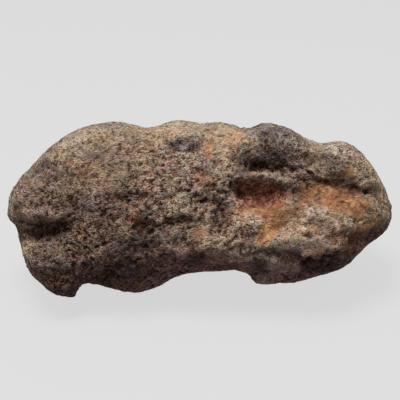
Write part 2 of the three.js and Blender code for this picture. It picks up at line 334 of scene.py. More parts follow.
# Where the marks lie on the face. Each list runs from the left end to the right.

# Rusted metal: the long hollow at the right, the pit and the trail below it, and small spots.
RUST_MARKS = (
    Patch(0.15, (-42, 24), (5, 4)),
    Patch(0.25, (-38, 10), (8, 5), 20),
    Patch(0.45, (-26.2, -2.7), (1.6, 3.5), -15),
    Patch(1, (0, -9.8), (2.8, 1.9)),
    Patch(0.35, (0.8, 11.5), (2.8, 3)),
    Patch(0.8, (3.2, 22.5), (2, 4), -10),
    Patch(0.35, (10, 27), (8, 5), 10),
    Patch(0.55, (13, 1), (2.5, 7), -8),
    Patch(0.3, (17, -23), (5, 2), 10),
    Patch(0.9, (22.5, 6), (9, 7)),
    Patch(1, (24.5, 0), (9, 3.5), 8),
    Patch(0.95, (28.5, -6.5), (8, 3.8), 52),
    Patch(0.6, (35, -1.5), (6, 3)),
    Patch(0.6, (39.3, 2), (3, 2)),
    Patch(0.3, (45, -10), (20, 5), -4),
    Patch(1, (52.5, 4.2), (13, 5.2), -9),
    Patch(0.9, (56, -0.2), (7.5, 4), -8),
    Patch(0.45, (57, -16.5), (5, 3), 8),
    Patch(1, (58.6, 13.4), (2.8, 1.7), -15),
    Patch(0.35, (60.5, -15), (5, 4), 35),
    Patch(0.6, (63, -9), (9, 3.5), 35),
)
# Maroon iron stain deep in the pit.
IRON_MARKS = (
    Patch(0.4, (-26.2, -3.2), (1.6, 3.5), -15),
    Patch(1, (18.5, 4.5), (4, 3.5)),
    Patch(0.9, (24, 6.6), (9.5, 5.4), -5),
)
# Dark grey-brown film on the knobs along the top, and painted shade under the overhangs and on the
# foot.
FILM_AND_PAINTED_SHADE_MARKS = (
    Patch(0.2, (-60, -11), (6, 3)),
    Patch(0.7, (-57, 15), (9, 4.5), 8),
    Patch(0.3, (-52, -32), (7, 4)),
    Patch(0.4, (-38.7, 20.8), (6, 2.5), 10),
    Patch(0.9, (-30, -18), (8, 5)),
    Patch(0.9, (-27, -16.3), (6, 3.5)),
    Patch(0.6, (-23.5, 4.6), (6.5, 3)),
    Patch(0.8, (-21.5, -16.7), (4, 3)),
    Patch(0.7, (-21, -11.5), (6, 3.5)),
    Patch(0.5, (-20.4, -7.7), (7, 4)),
    Patch(0.6, (-13.5, 6), (2, 2)),
    Patch(0.45, (-10.6, -5.4), (9, 1.7), 8),
    Patch(0.25, (-10, 4), (14, 6)),
    Patch(0.4, (-8, -17.5), (5, 2)),
    Patch(0.85, (-6.3, 25), (6, 3.5)),
    Patch(0.6, (-2.8, 16.8), (4, 1), -40),
    Patch(0.6, (5, 7), (4, 2.2), -10),
    Patch(0.75, (8.5, 0), (4, 6), -12),
    Patch(0.3, (18.2, 5), (2.4, 2.4)),
    Patch(1, (22, 20), (10, 4.5), -5),
    Patch(0.4, (22, 13), (9, 2), -5),
    Patch(1, (24, -20.5), (5, 4), -10),
    Patch(0.65, (28, 29), (10, 5), -15),
    Patch(0.8, (29, -16.2), (12, 1), -2),
    Patch(0.7, (32, 20.5), (9, 4), -5),
    Patch(0.8, (36.5, -17), (3.5, 1.8)),
    Patch(0.9, (46, -20.5), (7, 2.5), 8),
    Patch(0.8, (49, -18), (9, 1.3), 4),
    Patch(0.7, (50, -22), (11, 3), 8),
    Patch(0.6, (54, 19), (9, 3.5), -20),
    Patch(0.4, (60, 7.6), (5, 1.2), -14),
    Patch(0.8, (65.2, 7.2), (1.3, 1.6)),
)
# Pale crust and bare light grains, and painted light that brightens places the lamp leaves too
# dark.
PALE_AND_PAINTED_LIGHT_MARKS = (
    Patch(0.6, (-63, -2.5), (10, 3)),
    Patch(0.3, (-50, 24), (9, 4), 20),
    Patch(1, (-36, -10.8), (1.8, 1.4)),
    Patch(0.3, (-31, 5), (4, 3)),
    Patch(0.3, (-12, -18.5), (9, 2.6), 20),
    Patch(0.7, (-11.5, -13.5), (5, 3.5)),
    Patch(0.6, (-11, -22), (6, 2.4)),
    Patch(0.4, (-10, -16.5), (6, 3)),
    Patch(0.15, (-7.3, -0.2), (6, 3.6)),
    Patch(0.5, (-3, -8), (6, 4)),
    Patch(0.5, (8, 22.5), (4, 6)),
    Patch(0.7, (9, -16.5), (7, 2.6)),
    Patch(0.5, (15, -18), (6, 3)),
    Patch(1, (17, -17.5), (13, 2.5)),
    Patch(0.7, (19.8, -4.8), (4.2, 3.8)),
    Patch(0.9, (20, -16.5), (9, 2.5)),
    Patch(0.6, (27, 11.5), (8, 2.5)),
    Patch(1, (27.6, -27.6), (6, 3)),
    Patch(1, (33, -21), (8, 4.5)),
    Patch(0.4, (44, -5), (15, 5), -5),
    Patch(0.5, (47, 2), (1.8, 1.2)),
    Patch(0.5, (52, 24.5), (8, 3), -8),
    Patch(0.5, (53, 12.5), (11, 2.2), -12),
    Patch(0.8, (57, 11), (6, 1.8), -14),
    Patch(0.5, (67, 12), (4, 6), 20),
    Patch(0.3, (70, 4), (5, 9)),
)
# Tan dust, thickest on what faces up, and painted light that brightens places the lamp leaves too
# dark.
TAN_AND_PAINTED_LIGHT_MARKS = (
    Patch(0.6, (-70, 1), (4, 6)),
    Patch(0.4, (-62, 12), (9, 9), 20),
    Patch(0.8, (-38, 20), (26, 12), 15),
    Patch(0.3, (-11, -17), (7, 3)),
    Patch(0.8, (-10, 31), (14, 4)),
    Patch(0.6, (3, -14), (19, 4)),
    Patch(0.3, (6, 20), (8, 5)),
    Patch(0.9, (10, 26), (11, 7)),
    Patch(0.5, (19, -16), (7, 2.5)),
    Patch(0.5, (20, -22), (10, 3)),
    Patch(0.5, (30, -12), (8, 3)),
    Patch(0.8, (33, -21), (6, 4)),
    Patch(0.7, (42, -14), (9, 2.6)),
    Patch(0.9, (45.5, 19), (4, 6), 10),
    Patch(0.6, (50, -3), (20, 8), -8),
    Patch(0.7, (55, 1.5), (10, 4), -8),
    Patch(0.6, (56, 15), (12, 6), -20),
    Patch(0.3, (63, 4), (6, 7)),
    Patch(1, (68, 10), (6, 14), 8),
    Patch(0.8, (70, -2), (6, 6)),
)
# Painted shade in hollows, under ledges and over the lower part, which darkens whatever colour is
# there.
SHADE_MARKS = (
    Patch(0.45, (-62, 7), (10, 9)),
    Patch(0.95, (-60, -11), (9, 4)),
    Patch(0.7, (-56, -17), (12, 5), -6),
    Patch(0.8, (-52, -29), (9, 7)),
    Patch(0.8, (-50, -11), (4, 3)),
    Patch(0.75, (-46, -10), (22, 9), -3),
    Patch(0.65, (-45, 3), (26, 9), -5),
    Patch(0.75, (-39, -3), (6, 5)),
    Patch(0.55, (-35, 14), (16, 9)),
    Patch(0.4, (-34, 24), (14, 7)),
    Patch(0.9, (-32, -27), (10, 4), 5),
    Patch(0.6, (-31, -0.3), (5, 4)),
    Patch(1, (-30, -20), (9, 5), -8),
    Patch(0.6, (-22, -28), (8, 3), 10),
    Patch(0.7, (-21, -0.5), (4, 3)),
    Patch(0.85, (-21, -12), (7, 5)),
    Patch(0.45, (-17, -8), (19, 7)),
    Patch(0.35, (-16, 16), (10, 6)),
    Patch(0.3, (-16, 5), (14, 5)),
    Patch(0.65, (-1.6, 2.5), (8, 5)),
    Patch(1, (-1, -17.8), (4.5, 3)),
    Patch(0.3, (4, 14.5), (10, 6)),
    Patch(0.9, (8, -6), (4, 3.5)),
    Patch(0.6, (9, -22.5), (5, 2)),
    Patch(0.45, (17.5, 0.5), (4, 2.2)),
    Patch(0.7, (18, 15.5), (5, 3)),
    Patch(0.6, (18, -11), (5, 4)),
    Patch(0.5, (20, 17), (6, 4)),
    Patch(0.4, (24, 0.5), (8, 4)),
    Patch(0.6, (28, 23), (5, 6)),
    Patch(0.6, (28, 21), (8, 3)),
    Patch(0.6, (33, -1), (7, 4)),
    Patch(0.8, (37.5, 5), (4, 3.5)),
    Patch(0.4, (38, 11), (8, 4), -10),
    Patch(0.5, (42, 15), (6, 4), -20),
    Patch(1, (47, 10.6), (4, 2.5), -10),
    Patch(0.5, (47, -5.8), (5, 3)),
    Patch(0.9, (47, -21.5), (12, 3), 6),
    Patch(0.6, (50, 16.5), (9, 4), -20),
    Patch(0.8, (55, -11.5), (9, 3), 8),
    Patch(0.6, (57, 5.5), (5, 2.5)),
    Patch(0.9, (60, 7.4), (5, 1.5), -14),
    Patch(0.5, (66, 1.5), (4.5, 4)),
    Patch(0.4, (67, -10), (4, 4)),
)
MARKS = {
    Tint.RUST: RUST_MARKS,
    Tint.IRON: IRON_MARKS,
    Tint.FILM: FILM_AND_PAINTED_SHADE_MARKS,
    Tint.PALE: PALE_AND_PAINTED_LIGHT_MARKS,
    Tint.TAN: TAN_AND_PAINTED_LIGHT_MARKS,
    Tint.SHADE: SHADE_MARKS,
}

# What is cut into the stone and what stands out of it.
CUTS = (
    # The pit: its floor, the rim over it, and crumbs and a hole in it.
    Cut(1, (21.5, 6.2), (8, 4.5), -8, edge=0.8),
    Cut(1.3, (17, 6.4), (3.2, 3), edge=0.5),
    Cut(-1.2, (24, 11.2), (12, 2), -8, edge=0.7),
    Cut(-0.9, (20.5, 8.8), (2.2, 1.6)),
    Cut(-0.9, (25, 6.8), (2, 1.5)),
    Cut(0.8, (22.8, 9), (1.3, 1.3)),
    # The long hollow at the right: its raised floor, the ledge over it, the crease and a hole.
    Cut(-2.6, (55.5, 3.8), (9.5, 3.8), -12, edge=0.7),
    Cut(-2.8, (57, -2.2), (10, 4), -8, edge=0.9),
    Cut(-1.6, (56, 12.8), (11, 3), -18, edge=0.8),
    Cut(-3, (44, 13.5), (7, 2.8), -25, edge=0.8),
    Cut(1.2, (55, 8.9), (10.5, 1.5), -11, edge=0.7),
    Cut(1.8, (65.2, 7), (1.2, 1.5), edge=0.5),
    Cut(1, (43, 18), (3, 5), 10, edge=0.7),
    # The big knob over the pit: its lumps, a split, and the crease under it.
    Cut(-1, (19.5, 29), (5, 3), 20),
    Cut(-0.9, (31, 26), (5, 3.5), -20),
    Cut(-1, (20, 21), (5, 2.5), 10),
    Cut(-0.8, (33, 18.5), (5, 2.5), -10),
    Cut(0.8, (25.5, 26), (1.8, 5), 20),
    Cut(1.2, (20, 17), (5, 3), -20),
    Cut(1.8, (27, 16), (12, 1.6), -4),
    Cut(1.1, (18.5, 32), (3.5, 3), edge=0.5, side=Side.BOTH),
    Cut(-0.6, (26, 33.5), (3.5, 3), edge=0.5, side=Side.BOTH),
    # The shelf along the foot and the creases under it.
    Cut(-2.5, (2, -17.8), (18, 2.6), edge=0.8),
    Cut(-1.6, (19, -16.8), (11, 2.4), edge=0.8),
    Cut(-1.6, (48, -14.5), (9, 2.4), 4, edge=0.8),
    Cut(-1.6, (-12, -18.8), (8, 2.2), 20, edge=0.8),
    Cut(-3.4, (29, -13.2), (16.5, 3.4), -3, edge=0.8),
    Cut(1.5, (55, -12), (8, 2.4), 8, edge=0.7),
    Cut(1.8, (29, -16.2), (11, 0.9), -2),
    Cut(1.4, (49, -17.8), (9, 1), 4),
    # The notch at the left end, under its lip.
    Cut(-2.2, (-62, -2.7), (11, 2.6), 2, edge=0.7),
    Cut(1.3, (-56, -9.4), (10, 3), 2, edge=0.8),
    # Hollows, creases and one lump in the middle.
    Cut(1.4, (-23.5, 4.4), (4.5, 1.8), edge=0.5),
    Cut(-1.1, (-7.3, 0), (6, 3.4), edge=0.7),
    Cut(0.5, (-10.6, -5.4), (7, 1.8), 8, edge=0.8),
    Cut(0.9, (5, 7.4), (4, 1.5), -10),
    Cut(1, (-20.4, -7.7), (4, 2), edge=0.5),
    Cut(0.8, (8.5, -0.7), (1.8, 4.5), -12, edge=0.7),
    # The underside: the heel at the right, the toe, and the knots and creases between them.
    Cut(-1.6, (24, -28.5), (5, 2.5), edge=0.5, side=Side.BOTH),
    Cut(1.2, (13, -26.5), (6, 2), edge=0.5, side=Side.BOTH),
    Cut(-2.4, (32, -21), (8, 2.6), 6, edge=0.8),
    Cut(1, (36.5, -17), (3.5, 1.6)),
    Cut(-1.1, (29.5, -19.5), (2.8, 1.7)),
    Cut(-1.1, (37, -23), (3.2, 1.8), 10),
    Cut(-0.9, (46, -22.5), (3.2, 1.7), 8),
    Cut(1, (41.5, -20.5), (2.2, 2.4), 20),
    Cut(1, (24.5, -21), (2.2, 2.6), -20),
    Cut(0.9, (32.5, -25.5), (3.4, 1)),
    Cut(2.4, (-44.7, -32.8), (2, 3.4), -20, edge=0.5, side=Side.BOTH),
    Cut(-1.1, (-27, -23.5), (4.2, 2.2), 10),
    Cut(-1.1, (-13, -22.5), (4, 1.9), 15),
    Cut(-0.9, (-31, -29), (3.4, 1.8), -10),
    Cut(1, (-20, -26), (4.4, 1.5), 25),
    Cut(1, (-35.5, -25), (2.6, 3), -20),
    Cut(0.4, (2, -21.5), (6, 0.9), 3),
    # The back.
    Cut(1.6, (-20, 6), (14, 2), -14, side=Side.BACK),
    Cut(1.4, (30, 10), (6, 4.5), 20, side=Side.BACK),
    Cut(-1.2, (5, -4), (16, 3), 8, edge=0.8, side=Side.BACK),
    Cut(1.2, (-48, 12), (5, 3.5), side=Side.BACK),
    Cut(1.2, (40, -10), (12, 1.6), -18, side=Side.BACK),
)

# What the skin knows of each place and tells the finish.
KNOWN = (*(tint.value for tint in Tint), "pit", "crest", "swell", "sill", "under")


@dataclass(frozen=True)
class Places:
    """Places on the stone, one to a row, and where they lie on its face in millimetres.

    The wide and fine swells push the edges of whatever is laid there, so that they're ragged.
    """

    points: Array
    along: Array
    up: Array
    out: Array
    wide: Array
    fine: Array


@dataclass
class Relief:
    """The stone's skin: how far each place of the smooth stone stands out or lies in."""

    box: Box
    face: Face = field(default_factory=Face)
    # How the patterns are pushed about: how far, in how wide swells, and from which random field.
    shifts: tuple[tuple[float, float, int], ...] = (
        (1.0 * MM, 4.5 * MM, 11),
        (0.35 * MM, 1.6 * MM, 15),
    )
    lump_size: float = 9.0 * MM
    lump_height: float = 0.6 * MM
    clod_size: float = 6.0 * MM
    clod_height: float = 0.48 * MM
    small_clod_share: float = 0.6
    ridge_size: float = 2.6 * MM
    ridge_height: float = 0.24 * MM
    crumb_sizes: tuple[float, ...] = (3.3 * MM, 2.1 * MM, 1.4 * MM)
    crumb_heights: tuple[float, ...] = (0.34 * MM, 0.38 * MM, 0.38 * MM)
    pit_size: float = 2.1 * MM
    pit_patch_size: float = 9.0 * MM
    pit_depth: float = 0.8 * MM
    # The skin is rougher in some parts of the stone than in others.
    rough_size: float = 19.0 * MM
    rough_middle: float = 0.8
    rough_sway: float = 0.5
    rough_least: float = 0.55
    rough_most: float = 1.3
    # How far the edges of cuts and marks stray with the wide and the fine swells, in millimetres.
    wide_size: float = 5.0 * MM
    fine_size: float = 2.2 * MM
    cut_stray: tuple[float, float] = (1.0, 0.6)
    mark_stray: tuple[float, float] = (1.5, 0.9)
    # Stains in no set place: their size and strength, how much of that is in front, and how far
    # the wide and the fine swells break them up.
    wild_size: float = 16.0 * MM
    wild_strength: float = 0.6
    wild_front: float = 0.3
    wild_stray: tuple[float, float] = (0.3, 0.2)
    # How much of the skin is left on the outline, under rust and dust, underneath and at the back.
    rim_share: float = 0.2
    rust_share: float = 0.6
    dust_share: float = 0.7
    low_share: float = 0.75
    back_share: float = 0.8

    def crumble(self, points: Array) -> Array:
        """Work out the lumps, clods, ridges and crumbs.

        Args:
            points: Places on the smooth stone, one to a row.

        Returns:
            How far each place stands out, in metres.
        """
        moved = points
        for far, wave, seed in self.shifts:
            moved = moved + far * Swells(wave, seed).ways(points)
        large = Swells(self.clod_size, 3).clods(moved)
        small = Swells(self.clod_size / 2, 7).clods(moved)
        skin = self.clod_height * (large + self.small_clod_share * small)
        skin += self.ridge_height * Swells(self.ridge_size, 51).ridges(moved)
        skin += self.lump_height * Swells(self.lump_size, 33).at(moved)
        for k, (size, height) in enumerate(zip(self.crumb_sizes, self.crumb_heights)):
            skin += height * Crumbs(size, 141 + 20 * k).facets(moved)
        return skin

    def carve(self, at: Places) -> Array:
        """Work out how deep the cuts are.

        Args:
            at: Places on the stone.

        Returns:
            The depth at each place, in metres.
        """
        stray = self.cut_stray[0] * at.wide + self.cut_stray[1] * at.fine
        along, up = at.along + stray[:, 0], at.up + stray[:, 1]
        return sum(cut.cover(along, up, at.out) for cut in CUTS) * MM

    def stain(self, at: Places) -> dict[str, Array]:
        """Work out where the stains are.

        Args:
            at: Places on the stone.

        Returns:
            How strong each tint is at each place, by the tint's name.
        """
        stray = self.mark_stray[0] * at.wide + self.mark_stray[1] * at.fine
        along, up = at.along + stray[:, 1], at.up + stray[:, 2]
        tints = {}
        for tint, marks in MARKS.items():
            covers = [mark.cover(along, up, at.out) for mark in marks]
            tints[tint.value] = np.max(covers, axis=0)
        wild = self.wild_strength * (1 - (1 - self.wild_front) * smoothstep(-8.0, 4.0, at.out))
        for k, tint in enumerate((Tint.RUST, Tint.FILM, Tint.TAN)):
            chance = Swells(self.wild_size, 201 + 9 * k).at(at.points)
            chance += self.wild_stray[0] * at.wide[:, k] + self.wild_stray[1] * at.fine[:, k]
            cover = wild * smoothstep(0.2, 0.9, chance)
            tints[tint.value] = np.maximum(tints[tint.value], cover)
        return tints

    def calm(self, at: Places, normals: Array, tints: dict[str, Array]) -> Array:
        """Work out how much of the skin is left where something evens it out.

        Args:
            at: Places on the stone.
            normals: Which way the smooth stone faces at each of them.
            tints: How strong each tint is at each of them.

        Returns:
            From 0, smooth, to 1, as rough as it gets.
        """
        left = np.ones(len(normals))
        for share, where in (
            (self.rim_share, 1 - smoothstep(0.1, 0.45, np.abs(normals @ self.face.axes()[2]))),
            (self.rust_share, tints["rust"]),
            (self.dust_share, tints["tan"]),
            (self.low_share, smoothstep(0.2, 0.8, -normals[:, 2])),
            (self.back_share, smoothstep(-4.0, 8.0, -at.out)),
        ):
            left *= 1 - (1 - share) * where
        return left

    def heights(self, points: Array, normals: Array) -> tuple[Array, dict[str, Array]]:
        """Work out the skin at each place.

        Args:
            points: Places on the smooth stone, one to a row.
            normals: Which way the smooth stone faces at each of them.

        Returns:
            The height in metres, and how strong each tint and the pits are.
        """
        wide = Swells(self.wide_size, 71).ways(points)
        fine = Swells(self.fine_size, 81).ways(points)
        at = Places(points, *(v / MM for v in self.face.read(points, self.box)), wide, fine)
        tints = self.stain(at)
        rough = self.rough_middle + self.rough_sway * Swells(self.rough_size, 21).at(points)
        rough = np.clip(rough, self.rough_least, self.rough_most)
        hole = Swells(self.pit_size, 91).at(points)
        hole += 0.5 * Swells(self.pit_patch_size, 95).at(points)
        tints["pit"] = smoothstep(0.4, 0.8, hole)
        skin = self.crumble(points) * rough - self.pit_depth * tints["pit"]
        return skin * self.calm(at, normals, tints) - self.carve(at), tints


def neighbour_mean(mesh: bpy.types.Mesh, values: Array, rounds: int) -> Array:
    """Average values over each point's neighbours, again and again.

    Args:
        mesh: The mesh whose edges join neighbours.
        values: One row for each point.
        rounds: How many times to average.

    Returns:
        The averaged values.
    """
    ends = np.empty(len(mesh.edges) * 2, np.int32)
    mesh.edges.foreach_get("vertices", ends)
    first, second = ends.reshape(-1, 2).T
    count = np.bincount(ends, minlength=len(values)) + 1.0
    for _ in range(rounds):
        columns = []
        for column in values.T:
            total = column + np.bincount(first, column[second], len(column))
            total += np.bincount(second, column[first], len(column))
            columns.append(total / count)
        values = np.stack(columns, 1)
    return values


def put(name: str, data: Any) -> bpy.types.Object:
    """Put a new object in the scene.

    Args:
        name: Its name.
        data: Its mesh, lamp or camera.

    Returns:
        The object.
    """
    thing = bpy.data.objects.new(name, data)
    bpy.context.scene.collection.objects.link(thing)
    return thing


def clear_tree(owner: bpy.types.Material | bpy.types.World) -> bpy.types.NodeTree:
    """Empty a node tree.

    Args:
        owner: The material or world that it belongs to.

    Returns:
        The tree.
    """
    owner.use_nodes = True
    owner.node_tree.nodes.clear()
    return owner.node_tree


def add_node(tree: bpy.types.NodeTree, kind: str, inputs: Inputs | None = None) -> bpy.types.Node:
    """Add a node to a tree, with its settings and links.

    Args:
        tree: The tree it goes in.
        kind: The node's type, without the ShaderNode that every type starts with.
        inputs: Its settings by name, and its sockets by name or number. A socket gets a value, or
            a node or another socket that feeds it; a node feeds it from its first output. "stops"
            gives a colour ramp its stops, each a place and a linear colour.

    Returns:
        The node.
    """
    node = tree.nodes.new(f"ShaderNode{kind}")
    for name, value in (inputs or {}).items():
        if isinstance(value, bpy.types.Node):
            value = value.outputs[0]
        if isinstance(value, bpy.types.NodeSocket):
            tree.links.new(value, node.inputs[name])
        elif name == "stops":
            stops = node.color_ramp.elements
            while len(stops) < len(value):
                stops.new(1.0)
            for stop, (place, shade) in zip(stops, value):
                stop.position, stop.color = place, shade
        elif isinstance(name, int) or name in node.inputs:
            node.inputs[name].default_value = value
        else:
            setattr(node, name, value)
    return node


def mixture(tree: bpy.types.NodeTree, parts: Parts, start: Link | float = 0.0) -> Link | float:
    """Add up shares of several patterns.

    Args:
        tree: The tree that the sum goes in.
        parts: The patterns, each with how much of it is added.
        start: What they are added to.

    Returns:
        The sum.
    """
    for source, share in parts:
        total = {"operation": "MULTIPLY_ADD", 0: source, 1: share, 2: start}
        start = add_node(tree, "Math", total)
    return start


def ramp(colours: Stops) -> list[tuple[float, tuple[float, float, float, float]]]:
    """Turn a ramp's hex colours into linear ones."""
    return [(place, linear(colour)) for place, colour in colours]


@dataclass(frozen=True)
class Pattern:
    """A cloudy random pattern: how wide its grains are, and how much finer detail it holds."""

    name: str
    size: float
    detail: float
    roughness: float


@dataclass(frozen=True)
class Lift:
    """How much lighter a pattern makes the grains, as it runs from low to high."""

    pattern: str
    low: float
    high: float
    most: float


@dataclass(frozen=True)
class Cast:
    """A slight random colour cast: its least red, green and blue, and how far each one sways."""

    pattern: str
    least: tuple[float, float, float]
    sway: tuple[float, float, float]


@dataclass(frozen=True)
class Stain:
    """One of the things that cover the ground mass, and how it takes hold of it.

    It has a dark, a middling and a light colour, runs from start to full as its tint grows, and
    covers at most so much. Its grip is how far clots break up its edge: where that is negative,
    the stain sinks in between them.
    """

    tint: Tint
    colours: Stops
    grip: float
    start: float
    full: float
    most: float = 1.0


@dataclass(frozen=True)
class Veil:
    """A colour that darkens the places where a pattern is."""

    pattern: str
    share: float
    colour: str


@dataclass(frozen=True)
class WeatheredBreccia:
    """Feldspathic regolith breccia: angular grains in a fine ground mass, weathered in a desert.

    It was broken by impacts and never cut or polished, so it is matt, crumbly and crossed by
    creases, and its grains lie a little flat, as they were pressed. Iron that has rusted stains
    its hollows orange and the deepest one maroon. Its upper faces hold pale tan dust, partly
    painted light, and its knobs a dark film. Light and shade are also painted into its colour: the
    tops of its crumbs, its crests and whatever faces up are painted lighter, and its crevices,
    pits, pores, overhangs and underside are painted darker, the underside purple-brown. Its finest
    crevices are redder than its grains.
    """

    # Scales follow the rock's own parts. Clots and pores have their real sizes. Fragments, pale
    # fibres and hairline cracks are really 0.1 to 0.5 mm across, so grit, fleck, thread, split
    # and cast are drawn as coarse as they need to be to show.
    patterns: tuple[Pattern, ...] = (
        Pattern("blotch", 13 * MM, 5.0, 0.6),
        Pattern("clot", 3.4 * MM, 6.0, 0.68),
        Pattern("ragged", 5.78 * MM, 5.0, 0.65),
        Pattern("grit", 1.5 * MM, 4.0, 0.9),
        Pattern("fleck", 0.7 * MM, 1.0, 0.5),
        Pattern("thread", 2.4 * MM, 3.0, 0.6),
        Pattern("split", 3.1 * MM, 3.0, 0.6),
        Pattern("pore", 1.25 * MM, 3.0, 0.6),
        Pattern("cast", 2.0 * MM, 2.0, 0.65),
        Pattern("tinge", 8.0 * MM, 2.0, 0.65),
    )
    # The crumbs that are painted lighter on top and darker below, and where a crumb's top is from
    # its underside.
    crumb: Pattern = Pattern("crumb", 1.8 * MM, 2.0, 0.7)
    crumb_light_drop: tuple[float, float, float] = (0.0, -0.15 * MM, 0.32 * MM)
    # How the grains are squeezed along, through and down the stone.
    squeeze: tuple[float, float, float] = (0.88, 1.0, 1.2)
    # How much of a thread or a split counts as its line, and where a pore starts and is open.
    line_width: float = 0.03
    pore_start: float = 0.42
    pore_open: float = 0.37
    ground: Stops = ((0.0, "7c6e68"), (0.35, "948576"), (0.7, "ab9a83"), (1.0, "bfae93"))
    stains: tuple[Stain, ...] = (
        Stain(Tint.TAN, ((0.0, "8f7b62"), (0.5, "ac977b"), (1.0, "c3b197")), 1.0, 0.1, 0.9, 0.8),
        Stain(Tint.RUST, ((0.0, "7a4b3a"), (0.5, "ac7d57"), (1.0, "cfa578")), 1.6, 0.15, 0.75),
        Stain(Tint.IRON, ((0.0, "66433b"), (0.5, "a5735f"), (1.0, "c98f68")), 1.6, 0.15, 0.75),
        Stain(Tint.FILM, ((0.0, "493e39"), (0.5, "70625a"), (1.0, "aa9c8f")), -2.0, 0.15, 0.75),
        Stain(Tint.PALE, ((0.0, "a29682"), (0.5, "c2b6a0"), (1.0, "dad0ba")), 1.6, 0.2, 1.0, 0.8),
    )
    # How much lighter each pattern makes the grains. Clots, grit, flecks, fibres and cracks are the
    # rock's own tone. Crests, swells, up-facing skin and crumb tops are painted light and shade:
    # lighter where they stand out or face up, darker in hollows and below.
    lifts: tuple[Lift, ...] = (
        Lift("clot", 0.3, 0.7, 0.12),
        Lift("grit", 0.33, 0.52, 0.36),
        Lift("fleck", 0.34, 0.52, 0.34),
        Lift("fibre", 0.0, 1.0, 0.25),
        Lift("crack", 0.0, 1.0, -0.32),
        Lift("crest", -0.34, 0.16, 0.34),
        Lift("swell", -0.5, 0.5, 0.24),
        Lift("sill", 0.0, 1.0, 0.12),
        Lift("dust", -0.08, 0.08, 0.14),
    )
    # What the lifts add up to in the darkest crevice and on the lightest grain, and the colours.
    lift_low: float = 0.58
    lift_high: float = 1.3
    lights: Stops = ((0.0, "703f28"), (0.3, "ba9a87"), (0.6, "d7c5b8"), (1.0, "f5f2f1"))
    # How hard the grains' contrast is: at least this much, harder on the underside and under the
    # shade marks, which paints shade there, and softer under tan and pale.
    contrast_least: float = 1.62
    contrast: Shares = (("under", 1.25), ("shade", 0.3), ("tan", -0.2), ("pale", -0.15))
    # The minerals and the beds they lie in are slightly pinkish, greenish or yellowish.
    casts: tuple[Cast, ...] = (
        Cast("cast", (1.4, 1.77, 1.64), (0.7, 0.25, 0.9)),
        Cast("tinge", (0.7, 0.9, 0.6), (0.6, 0.2, 0.8)),
    )
    # Rust and dust lie on the grains as a powder and even them out.
    powder: Shares = (("rust", 0.6), ("tan", 0.4), ("pale", 0.15), ("iron", -0.35))
    powder_light: str = "ece8e3"
    powder_relief: float = 0.45
    # Painted shade laid over the colour: the underside's purple-brown cast and shade, the shade
    # marks, the pits and the open pores.
    veils: tuple[Veil, ...] = (
        Veil("under", 1.0, "eacdde"),
        Veil("shade", 0.8, "9a827c"),
        Veil("pit", 0.7, "573f31"),
        Veil("open", 0.85, "573f31"),
    )
    # What stands out in the finest relief, and what lies in.
    finest: Shares = (("clot", 0.5), ("grit", 1.2), ("fleck", 1.3), ("gap", -0.45), ("crack", -0.2))
    bump: float = 1.8 * MM
    # Rough broken silicate rock: matt, with hardly any gloss.
    rough_least: float = 0.82
    rough_most: float = 0.98
    ior: float = 1.5
    specular: float = 0.25
    diffuse_roughness: float = 0.6

    def fields(self, tree: bpy.types.NodeTree) -> dict[str, Link]:
        """Lay out the patterns that everything else is made from.

        Args:
            tree: The material's tree.

        Returns:
            The patterns and what the skin knows of each place, by name.
        """
        place = {"operation": "MULTIPLY", 0: add_node(tree, "TexCoord").outputs["Object"]}
        place = add_node(tree, "VectorMath", place | {1: self.squeeze})
        above = add_node(tree, "VectorMath", {"operation": "ADD", 0: place, 1: self.crumb_light_drop})
        layers = [(pattern.name, pattern, place) for pattern in (*self.patterns, self.crumb)]
        layers.append(("crumb above", self.crumb, above))
        found: dict[str, Link] = {}
        for name, pattern, where in layers:
            grain = {"Detail": pattern.detail, "Roughness": pattern.roughness}
            grain |= {"Scale": 1 / pattern.size, "Vector": where}
            found[name] = add_node(tree, "TexNoise", grain)
        # Painted light and shade: the top of each crumb is lighter and its underside darker, as if
        # lit from above.
        tops = {"operation": "SUBTRACT", 0: found["crumb"], 1: found["crumb above"]}
        found["dust"] = add_node(tree, "Math", tops)
        # A fibre or a crack runs wherever its pattern crosses the middle.
        line = [(0.5 - self.line_width, BLACK), (0.5, WHITE), (0.5 + self.line_width, BLACK)]
        for name, source in (("fibre", "thread"), ("crack", "split")):
            found[name] = add_node(tree, "ValToRGB", {"stops": line, "Fac": found[source]})
        gap = {"From Min": self.pore_start, "From Max": self.pore_open, "Value": found["pore"]}
        found["gap"] = add_node(tree, "MapRange", gap)
        for key in KNOWN:
            found[key] = add_node(tree, "Attribute", {"attribute_name": key}).outputs["Fac"]
        return found

    def cover(self, tree: bpy.types.NodeTree, found: dict[str, Link]) -> Link:
        """Lay the stains over the ground mass.

        Args:
            tree: The material's tree.
            found: The patterns by name.

        Returns:
            The colour, before light and dark grains.
        """
        bed, tone = (
            add_node(tree, "MapRange", {"From Min": 0.3, "From Max": 0.7, "Value": found[name]})
            for name in ("blotch", "clot")
        )
        shade = add_node(tree, "ValToRGB", {"stops": ramp(self.ground), "Fac": bed})
        for stain in self.stains:
            edge = mixture(tree, [(found["ragged"], stain.grip)], found[stain.tint.value])
            half = stain.grip / 2
            reach = {"From Min": stain.start + half, "From Max": stain.full + half}
            held = add_node(tree, "MapRange", reach | {"To Max": stain.most, "Value": edge})
            colour = add_node(tree, "ValToRGB", {"stops": ramp(stain.colours), "Fac": tone})
            shade = add_node(tree, "MixRGB", {"Fac": held, "Color1": shade, "Color2": colour})
        return shade

